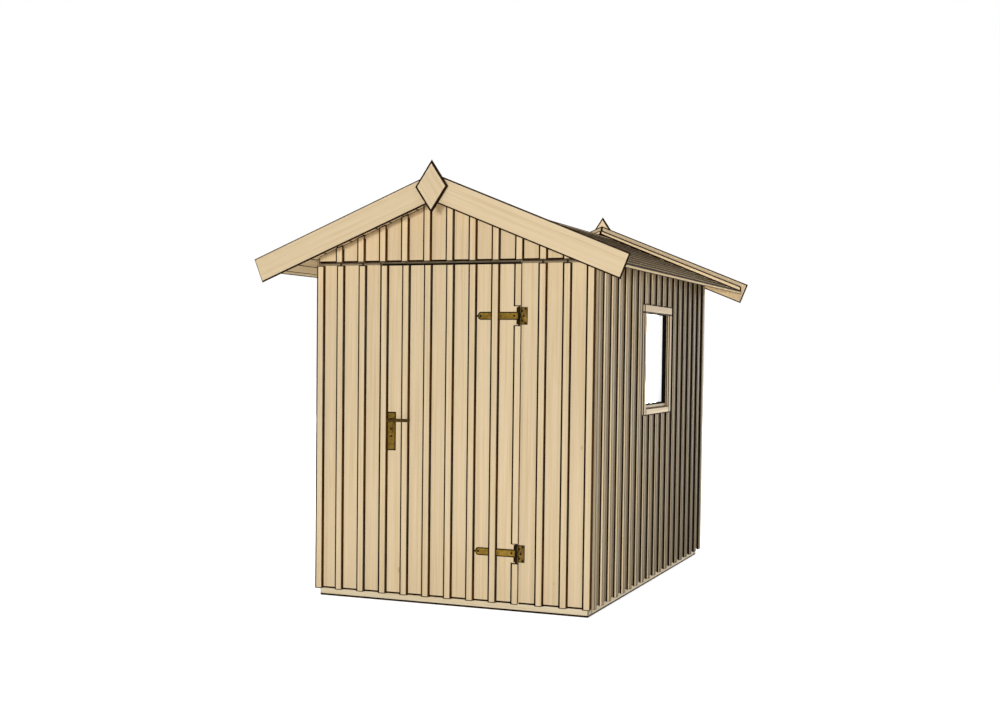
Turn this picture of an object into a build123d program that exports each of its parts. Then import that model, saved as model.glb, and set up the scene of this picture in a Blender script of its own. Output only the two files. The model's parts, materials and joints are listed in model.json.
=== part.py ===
from build123d import *
import math
import os

os.makedirs("parts", exist_ok=True)

# Garden shed, board-and-batten cladding on a timber frame. Millimetres.
# +X is to the right seen from the front, +Y runs to the back, +Z is up.
# The origin is on the ground under the middle of the frame.

# Frame and floor
frame_width = 1750
frame_length = 2706
bearer_width = 70
bearer_height = 70
deck_thk = 18
post_size = 45
plate_height = 70
rail_height = 45

# Cladding
board_thk = 18
batten_thk = 18
batten_width = 45
clad_lift = 47
front_pitch = 149
back_pitch = 149
side_pitch = 148

# Gables
gable_shoulder = 40
gable_step = 18
gable_pitch = 146.3

# Roof
ridge_height = 2470
roof_pitch = 22
roof_thk = 18
rafter_depth = 70
rafter_width = 45
rafter_pairs = 4
eave_overhang = 258
gable_overhang = 300
eave_strip_width = 36
barge_thk = 18
barge_width = 142
barge_rise = 68
barge_tail = 13.5
fillet_thk = 30
fillet_height = 37
finial_width = 196
finial_height = 293
finial_thk = 18
finial_drop = 80

# Door
door_width = 909
door_shift = -3
door_head_gap = 16
door_gap = 6
door_batten_count = 7
post_lap = 12
ledge_height = 95
ledge_thk = 22
ledge_margin = 150
ledge_handle_gap = 30
brace_width = 80

# Hinges
hinge_inset = 11.5
lower_hinge_rise = 299
upper_hinge_drop = 305
hinge_plate_thk = 3
leaf_width = 40
leaf_height = 100
leaf_corner_radius = 4
leaf_notch_gap = 5
strap_length = 260
strap_height = 38
strap_tip_radius = 17
strap_nib_length = 11
strap_nib_height = 9
strap_knuckle_height = 36
knuckle_radius = 7
pin_radius = 4
pin_fit = 0.1
knuckle_gap = 0.5
strap_fit = 0.3
lip_thk = 6

# Handle and lock
handle_side_gap = 4.5
handle_plate_width = 50
handle_plate_height = 225
handle_plate_corner = 8
handle_plate_z = 1039
lever_above_plate = 68
lever_stand_off = 51
lever_length = 132
lever_radius = 7
lever_bend = 14
neck_length = 26
neck_root_radius = 12
neck_top_radius = 8.5
spindle_radius = 5
turn_gap = 0.3
lock_below_lever = 54
lock_radius = 8.5
lock_height = 33
lock_web = 10
lock_proud = 3
lock_fit = 0.3

# Window in the right wall
window_width = 580
window_head_drop = 265
window_height = 621
casing_side = 58
casing_head = 52
casing_sill = 43
casing_head_lap = 24
sash_width = 22
sash_depth = 45
pane_thk = 4
pane_setback = 26

# Planes that several pieces share
half_width = frame_width / 2
half_length = frame_length / 2
clad_half_width = half_width + board_thk
batten_half_width = clad_half_width + batten_thk
board_face = -half_length - board_thk
batten_face = board_face - batten_thk
deck_top = bearer_height + deck_thk
pitch = math.radians(roof_pitch)
eave_edge = half_width + eave_overhang
eave_along = eave_edge / math.cos(pitch)
barge_outer = half_length + gable_overhang
barge_inner = barge_outer - barge_thk
plate_inner = half_width - post_size


def block(x0, x1, y0, y1, z0, z1):
    """Box between two opposite corners."""
    corner = Box(x1 - x0, y1 - y0, z1 - z0, align=(Align.MIN, Align.MIN, Align.MIN))
    return Pos(x0, y0, z0) * corner


def prism_along_y(outline, y0, y1):
    """Prism whose section is an outline of (x, z) points."""
    face = make_face(Polyline(*[(x, y0, z) for x, z in outline], close=True))
    return extrude(face, amount=y1 - y0, dir=(0, 1, 0))


def prism_along_z(outline, z0, z1):
    """Prism whose section is an outline of (x, y) points."""
    face = make_face(Polyline(*[(x, y, z0) for x, y in outline], close=True))
    return extrude(face, amount=z1 - z0, dir=(0, 0, 1))


def rod_along_y(x, z, radius, y0, y1):
    """Round bar along Y."""
    bar = Cylinder(radius, y1 - y0, rotation=(-90, 0, 0), align=(Align.CENTER, Align.CENTER, Align.MIN))
    return Pos(x, y0, z) * bar


def rod_along_z(x, y, radius, z0, z1):
    """Round bar along Z."""
    bar = Cylinder(radius, z1 - z0, align=(Align.CENTER, Align.CENTER, Align.MIN))
    return Pos(x, y, z0) * bar


def mirror_x(solid):
    """The same piece on the other side of the middle plane x = 0."""
    return mirror(solid, about=Plane.YZ)


def mirror_y(solid):
    """The same piece at the other end of the shed."""
    return mirror(solid, about=Plane.XZ)


def slope_point(along, above):
    """(x, z) on the right slope: along it from the ridge, and above the roof's top face."""
    x = along * math.cos(pitch) + above * math.sin(pitch)
    z = ridge_height - along * math.sin(pitch) + above * math.cos(pitch)
    return x, z


def ridge_point(above):
    """(x, z) on the middle plane at a height above the roof's top face."""
    return 0, ridge_height + above / math.cos(pitch)


def slope_strip(along_end, low, high):
    """Outline of a strip down the right slope, from a plumb cut at the ridge to a square end."""
    return [ridge_point(low), ridge_point(high), slope_point(along_end, high), slope_point(along_end, low)]


def plumb_point(x, above):
    """(x, z) at a place across the shed and at a height above the roof's top face, square to the slope."""
    return x, ridge_point(above)[1] - abs(x) * math.tan(pitch)


def roof_under(x):
    """Height of the roof boards' lower face."""
    return plumb_point(x, -roof_thk)[1]


def spread(gap, reach):
    """Centres at even gaps on both sides of the middle, as far as a reach."""
    count = int(reach // gap)
    return [gap * k for k in range(-count, count + 1)]


def save(node, *solids):
    """Write one node, of one solid or of several that do not touch."""
    shape = solids[0] if len(solids) == 1 else Compound(list(solids))
    export_step(shape, f"parts/{node}.step")


# Heights that follow the roof
gable_base = roof_under(half_width) - gable_shoulder
door_top = gable_base - door_head_gap
window_head_z = gable_base - window_head_drop
window_sill_z = window_head_z - window_height
opening_top = window_head_z + casing_head_lap


# Base and floor
def base():
    end = block(-half_width, half_width, -half_length, -half_length + bearer_width, 0, bearer_height)
    side_half = half_length - bearer_width
    side = block(half_width - bearer_width, half_width, -side_half, side_half, 0, bearer_height)
    save("side_bearers", side, mirror_x(side))
    save("end_bearers", end, mirror_y(end))
    deck = block(-half_width, half_width, -half_length, half_length, bearer_height, deck_top)
    save("floor_deck", deck)


base()

# Wall frame: posts, plates, headers and rails
plate_top = roof_under(plate_inner) - rafter_depth / math.cos(pitch)
plate_bottom = plate_top - plate_height
post_inner_y = half_length - post_size
door_left = door_shift - door_width / 2
door_right = door_shift + door_width / 2
hinge_x = door_right - hinge_inset
door_leaf_right = hinge_x - door_gap
left_jamb = door_left + post_lap
right_jamb = door_leaf_right - post_lap


def wall_frame():
    corner = block(plate_inner, half_width, -half_length, -post_inner_y, deck_top, plate_bottom)
    save("corner_posts", corner, mirror_x(corner), mirror_y(corner), mirror_x(mirror_y(corner)))
    save(
        "door_posts",
        block(left_jamb - post_size, left_jamb, -half_length, -post_inner_y, deck_top, plate_bottom),
        block(right_jamb, right_jamb + post_size, -half_length, -post_inner_y, deck_top, plate_bottom),
        block(
            left_jamb - post_size,
            right_jamb + post_size,
            -half_length,
            -post_inner_y,
            plate_top,
            gable_base + post_lap,
        ),
    )
    plate = block(plate_inner, half_width, -half_length, half_length, plate_bottom, plate_top)
    save("side_plates", plate, mirror_x(plate))
    header = block(-plate_inner, plate_inner, -half_length, -post_inner_y, plate_bottom, plate_top)
    save("end_headers", header, mirror_y(header))


def wall_rails():
    rails = []
    for low in (window_sill_z - rail_height, opening_top):
        high = low + rail_height
        side = block(plate_inner, half_width, -post_inner_y, post_inner_y, low, high)
        rails += [side, mirror_x(side)]
        rails.append(block(-plate_inner, plate_inner, post_inner_y, half_length, low, high))
        rails.append(block(-plate_inner, left_jamb - post_size, -half_length, -post_inner_y, low, high))
        rails.append(block(right_jamb + post_size, plate_inner, -half_length, -post_inner_y, low, high))
    save("wall_rails", *rails)
    stud_edge = window_width / 2
    stud = block(plate_inner, half_width, stud_edge, stud_edge + post_size, window_sill_z, opening_top)
    save("window_studs", stud, mirror_y(stud))


wall_frame()
wall_rails()


# Cladding boards, as one slab for each stretch of wall
def side_slab(y0, y1, z0, z1=None):
    """Stretch of the right wall's boards; without a top height it meets the roof's lower face."""
    inner_top = roof_under(half_width) if z1 is None else z1
    outer_top = roof_under(clad_half_width) if z1 is None else z1
    outline = [(half_width, z0), (clad_half_width, z0), (clad_half_width, outer_top), (half_width, inner_top)]
    return prism_along_y(outline, y0, y1)


def wall_boards():
    save(
        "front_wall_left",
        block(-clad_half_width, door_left - door_gap, board_face, -half_length, clad_lift, gable_base),
    )
    save(
        "front_wall_right",
        block(hinge_x + door_gap, clad_half_width, board_face, -half_length, clad_lift, gable_base),
    )
    save("back_wall", block(-clad_half_width, clad_half_width, half_length, -board_face, clad_lift, gable_base))
    save("left_wall", mirror_x(side_slab(-half_length, half_length, clad_lift)))
    window_edge = window_width / 2
    save("right_wall_front", side_slab(-half_length, -window_edge, clad_lift))
    save("right_wall_back", side_slab(window_edge, half_length, clad_lift))
    save("right_wall_below", side_slab(-window_edge, window_edge, clad_lift, window_sill_z))
    save("right_wall_above", side_slab(-window_edge, window_edge, opening_top))


wall_boards()


# Cladding battens over the board joints
def front_batten(left_edge):
    """Batten on the front boards, from its left edge, as high as the door's."""
    return block(left_edge, left_edge + batten_width, batten_face, board_face, clad_lift, door_top)


def side_batten(middle, z0, z1=None):
    """Batten on the right wall; without a top height it meets the roof's lower face."""
    inner_top = roof_under(clad_half_width) if z1 is None else z1
    outer_top = roof_under(batten_half_width) if z1 is None else z1
    outline = [
        (clad_half_width, z0),
        (batten_half_width, z0),
        (batten_half_width, outer_top),
        (clad_half_width, inner_top),
    ]
    return prism_along_y(outline, middle - batten_width / 2, middle + batten_width / 2)


def wall_battens():
    corner_edge = clad_half_width - batten_width
    last_door_batten = door_right - batten_width
    left_count = int((door_left + corner_edge) // front_pitch)
    right_count = int((corner_edge - batten_width - last_door_batten) // front_pitch)
    edges = [-clad_half_width, corner_edge]
    edges += [door_left - front_pitch * k for k in range(1, left_count + 1)]
    edges += [last_door_batten + front_pitch * k for k in range(1, right_count + 1)]
    save("front_battens", *[front_batten(edge) for edge in edges])

    back_edges = [-clad_half_width, corner_edge]
    reach = clad_half_width - 2 * batten_width
    back_edges += [middle - batten_width / 2 for middle in spread(back_pitch, reach)]
    save("back_battens", *[mirror_y(front_batten(edge)) for edge in back_edges])

    corner_middle = half_length - batten_width / 2
    middles = [-corner_middle, corner_middle] + spread(side_pitch, half_length - 2 * batten_width)
    save("left_battens", *[mirror_x(side_batten(middle, clad_lift)) for middle in middles])

    casing_reach = window_width / 2 + casing_side + batten_width / 2
    right = []
    for middle in middles:
        if abs(middle) < casing_reach:
            right.append(side_batten(middle, clad_lift, window_sill_z - casing_sill))
            right.append(side_batten(middle, window_head_z + casing_head))
        else:
            right.append(side_batten(middle, clad_lift))
    save("right_battens", *right)


wall_battens()


# Gables: panels that stand proud of the walls below, with their own battens
def under_roof(x0, x1):
    """Outline from the gable's base up to the roof's lower face between two places."""
    top = [(x1, roof_under(x1)), (x0, roof_under(x0))]
    if x0 < 0 < x1:
        top.insert(1, (0, roof_under(0)))
    return [(x0, gable_base), (x1, gable_base)] + top


def gables():
    panel_face = board_face - gable_step
    panel = prism_along_y(under_roof(-half_width, half_width), panel_face, -half_length)
    save("gable_panels", panel, mirror_y(panel))
    battens = []
    for middle in spread(gable_pitch, half_width - batten_width):
        outline = under_roof(middle - batten_width / 2, middle + batten_width / 2)
        batten = prism_along_y(outline, panel_face - batten_thk, panel_face)
        battens += [batten, mirror_y(batten)]
    save("gable_battens", *battens)


gables()


# Roof: rafters, boards, eave strips, verge fillets, bargeboards and finials
def rafters():
    outline = [
        ridge_point(-roof_thk),
        ridge_point(-roof_thk - rafter_depth),
        (plate_inner, plate_top),
        (half_width, plate_top),
        (half_width, roof_under(half_width)),
    ]
    step = (frame_length - rafter_width) / (rafter_pairs - 1)
    right = []
    for k in range(rafter_pairs):
        start = -half_length + step * k
        right.append(prism_along_y(outline, start, start + rafter_width))
    save("rafters_right", *right)
    save("rafters_left", *[mirror_x(rafter) for rafter in right])


def roof_boards():
    joint = eave_along - eave_strip_width
    right = prism_along_y(slope_strip(joint, -roof_thk, 0), -barge_inner, barge_inner)
    save("roof_right", right)
    save("roof_left", mirror_x(right))
    strip_outline = [
        slope_point(joint, 0),
        plumb_point(eave_edge, 0),
        plumb_point(eave_edge, -roof_thk),
        slope_point(joint, -roof_thk),
    ]
    strip = prism_along_y(strip_outline, -barge_inner, barge_inner)
    save("eave_strips", strip, mirror_x(strip))


def verges():
    fillet_outline = [
        ridge_point(0),
        ridge_point(fillet_height),
        plumb_point(eave_edge, fillet_height),
        plumb_point(eave_edge, 0),
    ]
    fillet = prism_along_y(fillet_outline, barge_inner - fillet_thk, barge_inner)
    save("verge_fillets_right", fillet, mirror_y(fillet))
    save("verge_fillets_left", mirror_x(fillet), mirror_x(mirror_y(fillet)))
    outline = slope_strip(eave_along + barge_tail, barge_rise - barge_width, barge_rise)
    barge = prism_along_y(outline, barge_inner, barge_outer)
    save("bargeboard_back_right", barge)
    save("bargeboard_back_left", mirror_x(barge))
    save("bargeboard_front_right", mirror_y(barge))
    save("bargeboard_front_left", mirror_x(mirror_y(barge)))


def finials():
    middle_z = ridge_point(barge_rise)[1] - finial_drop
    outline = [
        (0, middle_z - finial_height / 2),
        (finial_width / 2, middle_z),
        (0, middle_z + finial_height / 2),
        (-finial_width / 2, middle_z),
    ]
    back = prism_along_y(outline, barge_outer, barge_outer + finial_thk)
    save("finial_back", back)
    save("finial_front", mirror_y(back))


rafters()
roof_boards()
verges()
finials()


# Window: casing on the boards, sash in the opening, pane set back in the sash
def window():
    edge = window_width / 2
    outer = edge + casing_side
    head = block(
        clad_half_width, batten_half_width, -outer, outer, window_head_z, window_head_z + casing_head
    )
    save("window_head", head)
    sill = block(
        clad_half_width, batten_half_width, -edge, edge, window_sill_z - casing_sill, window_sill_z
    )
    save("window_sill", sill)
    jamb = block(
        clad_half_width, batten_half_width, edge, outer, window_sill_z - casing_sill, window_head_z
    )
    save("window_jambs", jamb, mirror_y(jamb))

    sash_back = clad_half_width - sash_depth
    glass_edge = edge - sash_width
    stile = block(sash_back, clad_half_width, glass_edge, edge, window_sill_z, opening_top)
    save("sash_stiles", stile, mirror_y(stile))
    low = window_sill_z + sash_width
    high = opening_top - sash_width
    save(
        "sash_rails",
        block(sash_back, clad_half_width, -glass_edge, glass_edge, window_sill_z, low),
        block(sash_back, clad_half_width, -glass_edge, glass_edge, high, opening_top),
    )
    pane_face = clad_half_width - pane_setback
    save("window_pane", block(pane_face - pane_thk, pane_face, -glass_edge, glass_edge, low, high))


window()

# Door leaf
door_back = -half_length - door_gap
handle_x = door_left + batten_width + handle_side_gap + handle_plate_width / 2
lever_z = handle_plate_z + lever_above_plate
lock_z = lever_z - lock_below_lever
hinge_heights = (clad_lift + lower_hinge_rise, door_top - upper_hinge_drop)
strap_root = hinge_x - door_gap
strap_tip = hinge_x - strap_length


def strap_slot(height):
    """Room for a hinge strap between the door's boards and the battens that lie over it."""
    half = strap_height / 2 + strap_fit
    depth = hinge_plate_thk + strap_fit
    start = strap_tip - strap_nib_length
    return block(start, strap_root, board_face - depth, board_face, height - half, height + half)


def lock_profile(y0, y1, grow=0):
    """Keyhole section of the lock cylinder: a round barrel over a narrow web with a round foot."""
    half = lock_web / 2 + grow
    foot_z = lock_z + lock_radius - lock_height + lock_web / 2
    profile = rod_along_y(handle_x, lock_z, lock_radius + grow, y0, y1)
    profile += block(handle_x - half, handle_x + half, y0, y1, foot_z, lock_z)
    return profile + rod_along_y(handle_x, foot_z, half, y0, y1)


def door_leaf():
    boards = block(door_left, door_leaf_right, board_face, door_back, clad_lift, door_top)
    boards -= rod_along_y(handle_x, lever_z, spindle_radius + pin_fit, board_face, door_back)
    save("door_boards", boards - lock_profile(board_face, door_back, lock_fit))

    battens = []
    gap = (door_width - batten_width) / (door_batten_count - 1)
    for k in range(door_batten_count - 1):
        left = door_left + gap * k
        batten = block(left, left + batten_width, batten_face, board_face, clad_lift, door_top)
        for height in hinge_heights:
            batten -= strap_slot(height)
        battens.append(batten)
    left = door_right - batten_width
    lipped = [
        (left, board_face),
        (door_leaf_right, board_face),
        (door_leaf_right, batten_face + lip_thk),
        (door_right, batten_face + lip_thk),
        (door_right, batten_face),
        (left, batten_face),
    ]
    notch = leaf_height / 2 + leaf_notch_gap
    stops = [clad_lift]
    for height in hinge_heights:
        stops += [height - notch, height + notch]
    stops.append(door_top)
    for low, high in zip(stops[::2], stops[1::2]):
        battens.append(prism_along_z(lipped, low, high))
    save("door_battens", *battens)


def door_back_frame():
    """Ledges across the leaf's inner face, and braces that rise from the hinge side."""
    ledge_left = left_jamb + door_gap + lip_thk
    ledge_right = right_jamb - door_gap - lip_thk
    ledge_face = door_back + ledge_thk
    middle = handle_plate_z - handle_plate_height / 2 - ledge_handle_gap - ledge_height
    lows = [clad_lift + ledge_margin, middle, door_top - ledge_margin - ledge_height]
    ledges = [
        block(ledge_left, ledge_right, door_back, ledge_face, low, low + ledge_height) for low in lows
    ]
    save("door_ledges", *ledges)
    braces = []
    for low, high in zip(lows[:-1], lows[1:]):
        outline = [
            (ledge_right - brace_width, low + ledge_height),
            (ledge_right, low + ledge_height),
            (ledge_left + brace_width, high),
            (ledge_left, high),
        ]
        braces.append(prism_along_y(outline, door_back, ledge_face))
    save("door_braces", *braces)


door_leaf()
door_back_frame()


# Tee hinges: a long strap on the door and a short upright leaf on the wall
def knuckle_web(side):
    """(x, y) outline of the bent plate between a hinge plate and its knuckle."""
    root = hinge_x + side * door_gap
    web = root + side * hinge_plate_thk
    half = hinge_plate_thk / 2
    return [
        (hinge_x, batten_face - half),
        (web, batten_face - half),
        (web, board_face),
        (root, board_face),
        (root, batten_face + half),
        (hinge_x, batten_face + half),
    ]


def strap_plate(height):
    """Flat of a strap on the door's boards: parallel sides, a rounded end and a small nib."""
    half = strap_height / 2
    face = board_face - hinge_plate_thk
    plate = block(strap_tip, strap_root, face, board_face, height - half, height + half)
    plate = fillet(plate.edges().filter_by(Axis.Y).group_by(Axis.X)[0], strap_tip_radius)
    nib = [
        (strap_tip - strap_nib_length, height),
        (strap_tip + strap_nib_length, height - strap_nib_height),
        (strap_tip + strap_nib_length, height + strap_nib_height),
    ]
    return plate + prism_along_y(nib, face, board_face)


def hinge_strap(height):
    half = strap_knuckle_height / 2
    low = height - half
    high = height + half
    strap = strap_plate(height)
    strap += prism_along_z(knuckle_web(-1), low, high)
    strap += rod_along_z(hinge_x, batten_face, knuckle_radius, low, high)
    return strap - rod_along_z(hinge_x, batten_face, pin_radius + pin_fit, low, high)


def hinge_leaf(height):
    low = height - leaf_height / 2
    high = height + leaf_height / 2
    inner = strap_knuckle_height / 2 + knuckle_gap
    root = hinge_x + door_gap
    leaf = block(root, root + leaf_width, board_face - hinge_plate_thk, board_face, low, high)
    leaf = fillet(leaf.edges().filter_by(Axis.Y).group_by(Axis.X)[-1], leaf_corner_radius)
    for bottom, top in ((low, height - inner), (height + inner, high)):
        leaf += prism_along_z(knuckle_web(1), bottom, top)
        leaf += rod_along_z(hinge_x, batten_face, knuckle_radius, bottom, top)
    return leaf + rod_along_z(hinge_x, batten_face, pin_radius, low, high)


save("hinge_straps", *[hinge_strap(height) for height in hinge_heights])
save("hinge_leaves", *[hinge_leaf(height) for height in hinge_heights])


# Lever handle on long back plates, inside and outside, over a lock cylinder
def handle_plate(y0, y1):
    """Back plate with round corners, bored for the spindle and cut for the lock cylinder."""
    half = handle_plate_width / 2
    low = handle_plate_z - handle_plate_height / 2
    high = handle_plate_z + handle_plate_height / 2
    plate = block(handle_x - half, handle_x + half, y0, y1, low, high)
    plate = fillet(plate.edges().filter_by(Axis.Y), handle_plate_corner)
    plate -= rod_along_y(handle_x, lever_z, spindle_radius + pin_fit, y0, y1)
    return plate - lock_profile(y0, y1, lock_fit)


def lever_side(start, out):
    """Neck and arm on one face of the door: a tapered neck, then a round bar bent to the right."""
    arm_y = start + out * lever_stand_off
    bar_end = handle_x + lever_length
    route = FilletPolyline(
        (handle_x, start, lever_z), (handle_x, arm_y, lever_z), (bar_end, arm_y, lever_z), radius=lever_bend
    )
    foot = Plane(origin=(handle_x, start, lever_z), x_dir=(1, 0, 0), z_dir=(0, out, 0))
    neck = Cone(
        neck_root_radius, neck_top_radius, neck_length, align=(Align.CENTER, Align.CENTER, Align.MIN)
    )
    bar = sweep(foot * Circle(lever_radius), path=route)
    return bar + foot * neck + Pos(bar_end, arm_y, lever_z) * Sphere(lever_radius)


def handle():
    outer_face = board_face - hinge_plate_thk
    inner_face = door_back + hinge_plate_thk
    cylinder = lock_profile(outer_face - lock_proud, inner_face + lock_proud)
    save("handle_plates", handle_plate(outer_face, board_face), handle_plate(door_back, inner_face), cylinder)

    outer_start = outer_face - turn_gap
    inner_start = inner_face + turn_gap
    lever = rod_along_y(handle_x, lever_z, spindle_radius, outer_start, inner_start)
    save("lever_handle", lever + lever_side(outer_start, -1) + lever_side(inner_start, 1))


handle()
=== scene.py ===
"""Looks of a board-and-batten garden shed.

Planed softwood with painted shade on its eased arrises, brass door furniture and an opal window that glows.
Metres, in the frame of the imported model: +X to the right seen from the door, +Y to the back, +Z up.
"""

import json
import math
import random

import bmesh
import bpy
from mathutils import Matrix, Vector

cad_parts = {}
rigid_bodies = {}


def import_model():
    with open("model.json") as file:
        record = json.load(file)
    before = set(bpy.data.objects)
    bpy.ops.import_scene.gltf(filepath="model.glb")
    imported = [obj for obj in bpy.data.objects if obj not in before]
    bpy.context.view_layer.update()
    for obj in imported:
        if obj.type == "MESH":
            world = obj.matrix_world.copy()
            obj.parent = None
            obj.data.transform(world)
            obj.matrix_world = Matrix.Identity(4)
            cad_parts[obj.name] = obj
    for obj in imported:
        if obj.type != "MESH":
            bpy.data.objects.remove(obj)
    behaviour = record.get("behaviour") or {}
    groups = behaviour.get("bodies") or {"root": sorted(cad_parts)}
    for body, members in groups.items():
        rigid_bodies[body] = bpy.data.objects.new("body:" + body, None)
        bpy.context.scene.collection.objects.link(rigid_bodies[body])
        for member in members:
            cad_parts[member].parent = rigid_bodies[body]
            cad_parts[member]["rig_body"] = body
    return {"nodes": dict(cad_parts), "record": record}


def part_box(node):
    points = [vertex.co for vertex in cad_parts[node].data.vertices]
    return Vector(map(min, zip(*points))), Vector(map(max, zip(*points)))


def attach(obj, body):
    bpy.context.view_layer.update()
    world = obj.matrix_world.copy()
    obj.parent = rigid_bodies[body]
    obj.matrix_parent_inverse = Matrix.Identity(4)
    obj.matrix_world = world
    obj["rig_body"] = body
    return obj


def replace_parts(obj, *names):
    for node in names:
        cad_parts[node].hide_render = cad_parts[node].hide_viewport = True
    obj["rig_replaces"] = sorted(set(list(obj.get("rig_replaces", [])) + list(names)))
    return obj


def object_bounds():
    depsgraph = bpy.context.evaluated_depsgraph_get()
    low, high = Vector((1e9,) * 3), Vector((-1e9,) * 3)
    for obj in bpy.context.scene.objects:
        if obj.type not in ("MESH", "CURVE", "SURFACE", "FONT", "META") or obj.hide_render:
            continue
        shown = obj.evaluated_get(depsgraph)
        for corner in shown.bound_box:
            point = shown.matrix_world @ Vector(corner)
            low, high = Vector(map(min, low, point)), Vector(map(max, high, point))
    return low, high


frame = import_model()
cad_low, cad_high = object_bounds()
chance = random.Random(7)

MM = 0.001
UP = Vector((0, 0, 1))
RIGHT = Vector((1, 0, 0))
BACK = Vector((0, 1, 0))

# What counts as one point, as flat, as an edge, as a square edge, as round and as looking along a direction
WELD = 0.02 * MM
FLAT_ANGLE = math.radians(0.5)
SHARP_ANGLE = math.radians(30)
SQUARE_ANGLE = math.radians(60)
SMOOTH_ANGLE = math.radians(35)
FACING_SHARE = 0.5

# Places of the dark materials in a piece's list of materials: painted shade on timber, and the patina on
# brass
ARRIS_SLOT = 1
SIDE_SHADE_SLOT = 2

# Boards of the walls, the roof and the floor
PLAIN_ARRIS = 3 * MM
BOARD_GAP = 4 * MM
BOARD_ARRIS = 4 * MM
NARROWEST_BOARD = 40 * MM
DRIP_BEVEL = 13 * MM
GABLE_DRIP_BEVEL = 11 * MM
ROOF_PITCH = math.radians(22)
ROOF_COVER = 95 * MM
ROOF_JOINT = 0.4 * MM
ROOF_LAP = 5 * MM
ROOF_ARRIS = 5 * MM
FLOOR_COVER = 120 * MM
FLOOR_JOINT = 0.4 * MM

# Battens, and the black packing under them that shows as a line of painted shade beside each, which gets
# thicker along the long sides from the front to the back
BATTEN_ARRIS = 1.5 * MM
BATTEN_REBATE = 9.5 * MM
BATTEN_RIGHT_REBATE = 1.5 * MM
BATTEN_END_REBATE = 5.5 * MM
BATTEN_FALL = 1 * MM
SIDE_BATTEN_REBATE = 4 * MM
PACKING_THK = 1 * MM
PACKING_MARGIN = 6.5 * MM
SIDE_PACKING_THKS = (6.5 * MM, 13 * MM)
SIDE_PACKING_MARGIN = 8 * MM

# Bearers and trim
BEARER_ARRIS = 4 * MM
BEARER_FOOT = 12 * MM
TRIM_ARRIS = 5 * MM
BARGE_ARRIS = 8.5 * MM
BARGE_DROP = 9 * MM
BARGE_REACH = 9 * MM
FINIAL_ARRIS = 8 * MM
FINIAL_RIM = 13 * MM
FINIAL_GROWTH = 1.05
FILLET_ARRIS = 9 * MM
FILLET_FOOT = 11 * MM
EAVE_ARRIS = 2.5 * MM
EAVE_FOOT = 5 * MM

# Tones, as shares of the timber's own colour. A pair runs along the long sides from the front to the back
END_WALL_TONE = 1.06
END_BATTEN_TONE = 1.04
RECESS_SHADE_TONE = 0.36
HEAD_GAP_SHADE_TONE = 0.2
# Painted shade on the roof's top faces, and painted light on its undersides
ROOF_TOP_SHADE_TONE = 0.52
SOFFIT_LIGHT_TONE = 1.35
# Painted shade of the long sides' boards and battens, from the front to the back
SIDE_SHADE_TONES = (0.68, 0.18)
# Painted light on the sides of the long sides' battens that face the front
SIDE_EDGE_LIGHT_TONES = (1.35, 0.45)
BACK_CORNER_TONE = 0.6

# Spread of the sticks' places in the timber, so that no two have the same grain, and of their own tones
GRAIN_REACH = 20.0
STICK_TONES = (0.97, 1.03)

# Arris and tone of the trim and the bearers, by the start of a node's name, and of the plain timbers. Tones
# above 1 are painted light, which lifts these pieces above what the lamps give them
TRIM_LOOKS = {
    "verge_fillets": (FILLET_ARRIS, 1.3),
    "eave_strips": (EAVE_ARRIS, 1.4),
    "bargeboard_front": (BARGE_ARRIS, 1.0),
    "bargeboard_back": (BARGE_ARRIS, 0.97),
    "finial_front": (FINIAL_ARRIS, 1.0),
    "finial_back": (FINIAL_ARRIS, 1.3),
    "window_head": (TRIM_ARRIS, 0.97),
    "window_sill": (TRIM_ARRIS, 1.27),
    "window_jambs": (TRIM_ARRIS, 0.83),
    "side_bearers": (BEARER_ARRIS, 1.35),
    "end_bearers": (BEARER_ARRIS, 1.14),
}
PLAIN_LOOK = (PLAIN_ARRIS, 1.0)

# Hinges and handle
PLATE_THK = 3 * MM
PLATE_EDGE = 2 * MM
KNUCKLE_RADIUS = 7 * MM
PIN_HEAD_RADIUS = 6 * MM
PIN_HEAD_HEIGHT = 3.5 * MM
PIN_HEAD_EDGE = PIN_HEAD_HEIGHT / 4
PIN_HEAD_EDGE_SEGMENTS = 2
LEAF_WIDTH = 40 * MM
STRAP_NIB = 11 * MM
LEVER_SWELL = 2.2 * MM

# Bedding of the fittings, as painted shade: the knuckles' painted shadow lies between two distances from the
# hinges' pins
BEDDING_THK = 0.8 * MM
BEDDING_MARGIN = 4.5 * MM
BEDDING_END_SEGMENTS = 6
LEAF_BEDDING_MARGIN = 1.5 * MM
NIB_BEDDING_HEIGHT = 10 * MM
KNUCKLE_SHADOW_STRIP = (22 * MM, 12 * MM)

# Screws and lock plug: radius, height and slot of their heads, and their places
SCREW_HEAD = (6.5 * MM, 1.0 * MM, 1.2 * MM)
PLUG_HEAD = (6.3 * MM, 0.8 * MM, 1.6 * MM)
HEAD_SIDES = 20
HEAD_TAPER_SHARE = 0.86
SLOT_FLOOR_SHARE = 0.25
LEAF_SCREW_SHARES = ((0.20, 0.28), (0.20, -0.28), (0.44, 0.0), (0.72, 0.41), (0.72, -0.41))
STRAP_SCREW_INSET = 13 * MM
STRAP_ROOT_INSET = 42 * MM
PLATE_SCREW_INSET = 13 * MM
LOCK_SCREW_DROP = 98 * MM
PLUG_DROP = 8.5 * MM

# Strip and seal over the door
SEAL_THK = 3 * MM
SEAL_HEIGHT = 8 * MM
HEAD_STRIP_LAP = 2 * MM
HEAD_STRIP_REACH = 5 * MM

# Glazing gasket, and the eased edges of all rubber
GASKET_THK = 3 * MM
GASKET_BEAD = 8 * MM
GASKET_BEAD_DEPTH = 5 * MM
GASKET_REBATE = 1 * MM
RUBBER_EDGE = 0.6 * MM


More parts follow.
